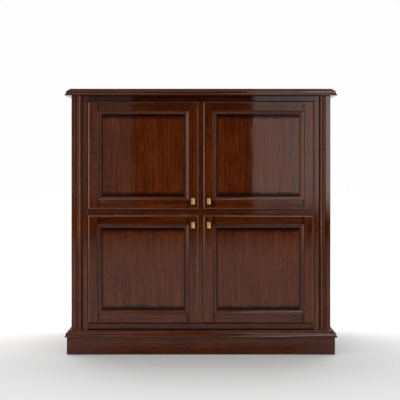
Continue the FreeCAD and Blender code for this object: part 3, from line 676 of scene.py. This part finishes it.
# ---------------------------------------------------------------- operators
class DESK_OT_finish_frame(Operator):
    """Gives the doors' frames, the pilasters, rails, sides and top their mahogany."""

    bl_idname = "desk.finish_frame"
    bl_label = "Finish Frame"

    def execute(self, context):
        level, upright = grain_along("x"), grain_along("z")
        finish(
            mahogany("mahogany_door_stiles", upright, 0.0, tone_and_shade=0.9, worn_and_highlit=True),
            *nodes_ending("_door_stiles"))
        finish(mahogany("mahogany_top_board", level, 3.1, tone_and_shade=0.9, worn_and_highlit=True), "top_board")
        # The frieze's low tone paints the shade under the top's overhang.
        finish(mahogany("mahogany_frieze", level, 4.4, tone_and_shade=0.44), "frieze_rail")
        finish(mahogany("mahogany_mid_rail", level, 2.3, tone_and_shade=0.86, worn_and_highlit=True), "mid_rail")
        finish(
            mahogany("mahogany_bottom_rail", level, 3.9, painted_foot_shade, tone_and_shade=0.84, coat=0.8),
            "bottom_rail")
        # The closing strips' lower tone paints the shade that falls on them between the doors.
        finish(
            mahogany("mahogany_closing_strips", upright, 1.7, tone_and_shade=0.8),
            *nodes_ending("_closing_strip"))
        finish(
            mahogany("mahogany_pilasters", upright, 5.0, painted_reed_shade, coat=pilaster_faces),
            "left_pilaster", "right_pilaster")
        # The lower doors' rails take a darker tone than the upper doors' rails, a painted shade, and
        # the upper doors' top rails get a painted shadow of the top's overhang.
        for tier, tone_and_shade, overhang_shade in (("upper", 0.90, 0.34), ("lower", 0.74, 0.0)):
            rails = mahogany(
                "mahogany_" + tier + "_door_rails", level, 6.2, rail_glaze_and_shade(tier, overhang_shade),
                tone_and_shade=tone_and_shade, worn_and_highlit=True)
            finish(rails, tier + "_left_door_rails", tier + "_right_door_rails")
        finish(mahogany("mahogany_side_rails", grain_along("y"), 8.8, coat=outer_faces), "side_rails")
        finish(mahogany("mahogany_side_stiles", upright, 9.5, coat=outer_faces), "side_stiles")
        return {"FINISHED"}


class DESK_OT_finish_panels(Operator):
    """Gives the door panels and the side panels their straight-grained mahogany."""

    bl_idname = "desk.finish_panels"
    bl_label = "Finish Panels"

    def execute(self, context):
        upright = grain_along("z")
        for tier in ("upper", "lower"):
            panel = mahogany(
                "mahogany_" + tier + "_door_panels", upright, 11.0, painted_panel_shade(tier), figure=0.85)
            finish(panel, tier + "_left_door_panel", tier + "_right_door_panel")
        finish(mahogany("mahogany_side_panels", upright, 14.0, coat=outer_faces), "side_panels")
        return {"FINISHED"}


class DESK_OT_finish_mouldings(Operator):
    """Gives the top's edge, the base, the plinth and the panel mouldings their mahogany."""

    bl_idname = "desk.finish_mouldings"
    bl_label = "Finish Mouldings"

    def execute(self, context):
        # The top edge moulding's and base moulding's low tones darken them as painted shade.
        for name, seed, tone_and_shade, coat in (
                ("top_edge_moulding", 17.0, 0.47, 0.85),
                ("base_moulding", 18.0, 0.68, 0.85),
                ("plinth_boards", 19.0, 0.75, plinth_polish)):
            grain = grain_round_plan(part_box(name))
            finish(mahogany("mahogany_" + name, grain, seed, tone_and_shade=tone_and_shade, coat=coat), name)
        for tier in ("upper", "lower"):
            moulding = mahogany(
                "mahogany_" + tier + "_panel_moulding", grain_round_panel(tier), 23.0,
                painted_moulding_shade(tier))
            finish(moulding, tier + "_left_door_panel_moulding", tier + "_right_door_panel_moulding")
        return {"FINISHED"}


class DESK_OT_finish_inside(Operator):
    """Finishes the shelves, partitions, tray, back panels and the hidden framing."""

    bl_idname = "desk.finish_inside"
    bl_label = "Finish Inside"

    def execute(self, context):
        level, upright = grain_along("x"), grain_along("z")
        finish(
            mahogany("inside_level", level, 29.0, tone_and_shade=1.5, gloss=0.28),
            "sub_top", "mid_shelf", "bottom_board", "monitor_deck", "pigeonhole_shelves",
            "lower_shelves", "keyboard_tray_board", "keyboard_tray_cleats_and_stop")
        finish(
            mahogany("inside_upright", upright, 31.0, tone_and_shade=1.4, gloss=0.28),
            "upper_partitions", "lower_partitions")
        finish(
            mahogany("inside_back", upright, 33.0, tone_and_shade=1.1, gloss=0.45),
            "upper_back_panel", "lower_back_panel", "plinth_blocks_and_stretcher")
        finish(mahogany("mahogany_tray_front", level, 35.0), "keyboard_tray_front")
        return {"FINISHED"}


class DESK_OT_finish_fittings(Operator):
    """Finishes hinges, strikes, screws, runners, pins, catches, grommets and glides."""

    bl_idname = "desk.finish_fittings"
    bl_label = "Finish Fittings"

    def execute(self, context):
        finish(darkened_brass("darkened_brass"), "frame_hinge_leaves", *nodes_ending("_fittings"))
        finish(
            zinc_plate("zinc_plate"),
            "cabinet_runners", "middle_runners", "tray_runners", "shelf_pins")
        finish(
            moulded_plastic("brown_plastic", (0.030, 0.014, 0.008), (0.045, 0.022, 0.013)),
            "magnetic_catches")
        finish(
            moulded_plastic("black_plastic", (0.012, 0.012, 0.012), (0.022, 0.022, 0.022)),
            "cable_grommets", "floor_glides")
        return {"FINISHED"}


class DESK_OT_make_knobs(Operator):
    """Makes the four rectangular brass knobs and their screws."""

    bl_idname = "desk.make_knobs"
    bl_label = "Make Knobs"

    def execute(self, context):
        brass = aged_brass("knob_brass")
        for door in DOORS:
            piece = knob_mesh(door + "_brass_knob", door + "_knob")
            piece.data.materials.append(brass)
            piece.data.shade_smooth()
            piece.data.set_sharp_from_angle(angle=math.radians(35.0))
            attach(piece, door)
            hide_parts(door + "_knob")
        return {"FINISHED"}


class DESK_OT_set_studio(Operator):
    """Sets the camera, the pale floor, the soft boxes and the even light."""

    bl_idname = "desk.set_studio"
    bl_label = "Set Studio"

    def execute(self, context):
        _, _, studio = settings()
        scene = context.scene
        scene.view_settings.view_transform = "Standard"
        set_camera(scene, studio)
        lay_floor(studio)
        set_world(scene, studio)
        hang_lamp()
        return {"FINISHED"}


def set_camera(scene, studio):
    """A level camera that faces the desk's front."""
    front = cad_box[0][1]
    distance = studio.picture_width * studio.lens / SENSOR_WIDTH
    centre_x, centre_z = studio.picture_centre
    data = bpy.data.cameras.new("front_camera")
    data.lens = studio.lens
    data.sensor_width = SENSOR_WIDTH
    data.shift_y = (centre_z - studio.eye_height) / studio.picture_width
    camera = bpy.data.objects.new("front_camera", data)
    camera.location = (centre_x, front - distance, studio.eye_height)
    camera.rotation_euler = (math.radians(90.0), 0.0, 0.0)
    scene.collection.objects.link(camera)
    scene.camera = camera


def lay_floor(studio):
    """A pale floor that turns white behind the desk and fades away in front and at the sides."""
    low, high = cad_box
    mesh = bmesh.new()
    bmesh.ops.create_grid(mesh, x_segments=1, y_segments=1, size=FLOOR_REACH)
    data = bpy.data.meshes.new("studio_floor")
    mesh.to_mesh(data)
    mesh.free()
    floor = bpy.data.objects.new("studio_floor", data)
    floor.location.z = low[2]
    bpy.context.scene.collection.objects.link(floor)
    web = Web("studio_floor")
    x, y, _ = web.position()
    white = web.fade(y, low[1] - GREY_BEFORE, high[1] + WHITE_BEHIND, 0.0, FLOOR_GLOW)
    before = web.fade(y, *FLOOR_FRONT)
    beside = web.fade(web.size(x), *FLOOR_SIDES, 1.0, 0.0)
    web.set(
        Base_Color=(studio.floor_grey,) * 3 + (1.0,), Roughness=0.6, Specular_IOR_Level=0.0,
        Emission_Color=(1.0, 1.0, 1.0, 1.0), Emission_Strength=white,
        Alpha=web.math("MULTIPLY", before, beside))
    data.materials.append(web.material)


class WorldWeb:
    """The few nodes that the world needs, wired by value."""

    def __init__(self, name):
        self.world = bpy.data.worlds.new(name)
        self.world.use_nodes = True
        self.tree = self.world.node_tree
        self.tree.nodes.clear()

    node = Web.node
    feed = Web.feed
    math = Web.math
    size = Web.size
    fade = Web.fade
    pick = Web.pick

    def light(self, strength, colour=(1.0, 1.0, 1.0)):
        links = {"Color": (*colour, 1.0), "Strength": strength}
        return self.node("Background", links).outputs[0]

    def both(self, first, second):
        return self.node("AddShader", {0: first, 1: second}).outputs[0]

    def either(self, share, first, second):
        return self.node("MixShader", {0: share, 1: first, 2: second}).outputs[0]


def set_world(scene, studio):
    """White to the eye, even light on the wood, and soft boxes in the lacquer's reflections."""
    web = WorldWeb("studio")
    scene.world = web.world
    direction = web.node("TexCoord").outputs["Generated"]
    towards = web.node("SeparateXYZ", {0: direction}).outputs[:3]
    shine = mirrored_light(web, studio, *towards)
    even = even_light(web, studio, *towards)
    rays = web.node("LightPath").outputs
    lit = web.either(rays["Is Glossy Ray"], web.light(even), shine)
    seen = web.either(rays["Is Camera Ray"], lit, web.light(BACKGROUND))
    web.node("OutputWorld", {0: seen})


def mirrored_light(web, studio, x, y, z):
    """What the lacquer mirrors: two soft boxes with a gap between, and broad warm light round them."""
    ahead = web.math("MAXIMUM", web.math("MULTIPLY", y, -1.0), 0.001)
    side = web.math("DIVIDE", x, ahead)
    rise = web.math("DIVIDE", z, ahead)
    behind = web.fade(y, *BEHIND)
    left = web.fade(
        side, GAP_LEFT - GAP_SOFTNESS, GAP_LEFT + GAP_SOFTNESS, studio.left_box, 0.0)
    right = web.fade(
        side, GAP_RIGHT - GAP_SOFTNESS, GAP_RIGHT + GAP_SOFTNESS, 0.0, studio.right_box)
    right = web.math("MULTIPLY", right, web.fade(side, *BRIGHTER))
    right = web.math("MULTIPLY", right, web.fade(side, *BRIGHTEST))
    boxes = web.math("ADD", left, right)
    boxes = web.math("MULTIPLY", boxes, web.fade(web.size(side), *BOX_END, 1.0, 0.0))
    foot = web.fade(rise, BOX_FOOT - BOX_FOOT_SOFTNESS, BOX_FOOT + BOX_FOOT_SOFTNESS)
    boxes = web.math("MULTIPLY", boxes, foot)
    low_back = web.fade(z, 0.04, 0.16, 1.1, 0.35)
    cool = web.pick(behind, boxes, low_back)
    near, far = BROAD_LIGHT_START
    window = web.fade(side, -far, -near, studio.left_light, 0.0)
    window = web.math("MULTIPLY", window, web.fade(z, -0.45, 0.05, 0.35, 1.0))
    fill = web.fade(side, near, far, 0.0, studio.right_light)
    over = web.fade(z, 0.35, 0.55, 0.0, studio.overhead)
    around = web.math("MAXIMUM", web.math("MAXIMUM", window, fill), over)
    warm = web.pick(behind, around, web.fade(x, -0.7, -0.3, 2.2, 0.0))
    return web.both(web.light(cool), web.light(warm, studio.edge_colour))


def even_light(web, studio, x, y, z):
    """Soft light on the surfaces themselves, strongest from above, behind and the left."""
    even = web.fade(z, -0.2, 1.0, studio.ambient * 0.4, studio.ambient * 1.7)
    even = web.math("MULTIPLY", even, web.fade(x, -0.9, 0.9, 1.25, 0.80))
    return web.math("MULTIPLY", even, web.fade(y, -0.4, 0.6, 1.0, 1.5))


def hang_lamp():
    """A large soft light above and behind the desk, which throws its shadow forwards."""
    data = bpy.data.lights.new("top_light", "AREA")
    data.shape = "RECTANGLE"
    data.size, data.size_y = LAMP_SIZE
    data.energy = LAMP_POWER
    lamp = bpy.data.objects.new("top_light", data)
    lamp.location = LAMP_PLACE
    lamp.rotation_euler = (math.radians(LAMP_TILT), 0.0, 0.0)
    lamp.visible_camera = False
    lamp.visible_glossy = False
    bpy.context.scene.collection.objects.link(lamp)


class DESK_PT_sidebar(Panel):
    """Lists the desk's finishes and pieces in the sidebar."""

    bl_label = "Hideaway Desk"
    bl_idname = "DESK_PT_sidebar"
    bl_space_type = "VIEW_3D"
    bl_region_type = "UI"
    bl_category = "Desk"

    def draw(self, context):
        layout = self.layout
        for operator in OPERATORS:
            layout.operator(operator.bl_idname)
        for group in settings():
            box = layout.box()
            for name in group.__annotations__:
                box.prop(group, name)


OPERATORS = (
    DESK_OT_set_studio, DESK_OT_finish_frame, DESK_OT_finish_panels, DESK_OT_finish_mouldings,
    DESK_OT_finish_inside, DESK_OT_finish_fittings, DESK_OT_make_knobs,
)
GROUPS = {"desk_wood": WoodSettings, "desk_brass": BrassSettings, "desk_studio": StudioSettings}


def register():
    for group in GROUPS.values():
        bpy.utils.register_class(group)
    for name, group in GROUPS.items():
        setattr(bpy.types.Scene, name, PointerProperty(type=group))
    for cls in (*OPERATORS, DESK_PT_sidebar):
        bpy.utils.register_class(cls)


def unregister():
    for cls in reversed((*OPERATORS, DESK_PT_sidebar)):
        bpy.utils.unregister_class(cls)
    for name in GROUPS:
        delattr(bpy.types.Scene, name)
    for group in GROUPS.values():
        bpy.utils.unregister_class(group)


def main():
    register()
    for operator in OPERATORS:
        category, name = operator.bl_idname.split(".")
        getattr(getattr(bpy.ops, category), name)()


if __name__ == "__main__":
    main()
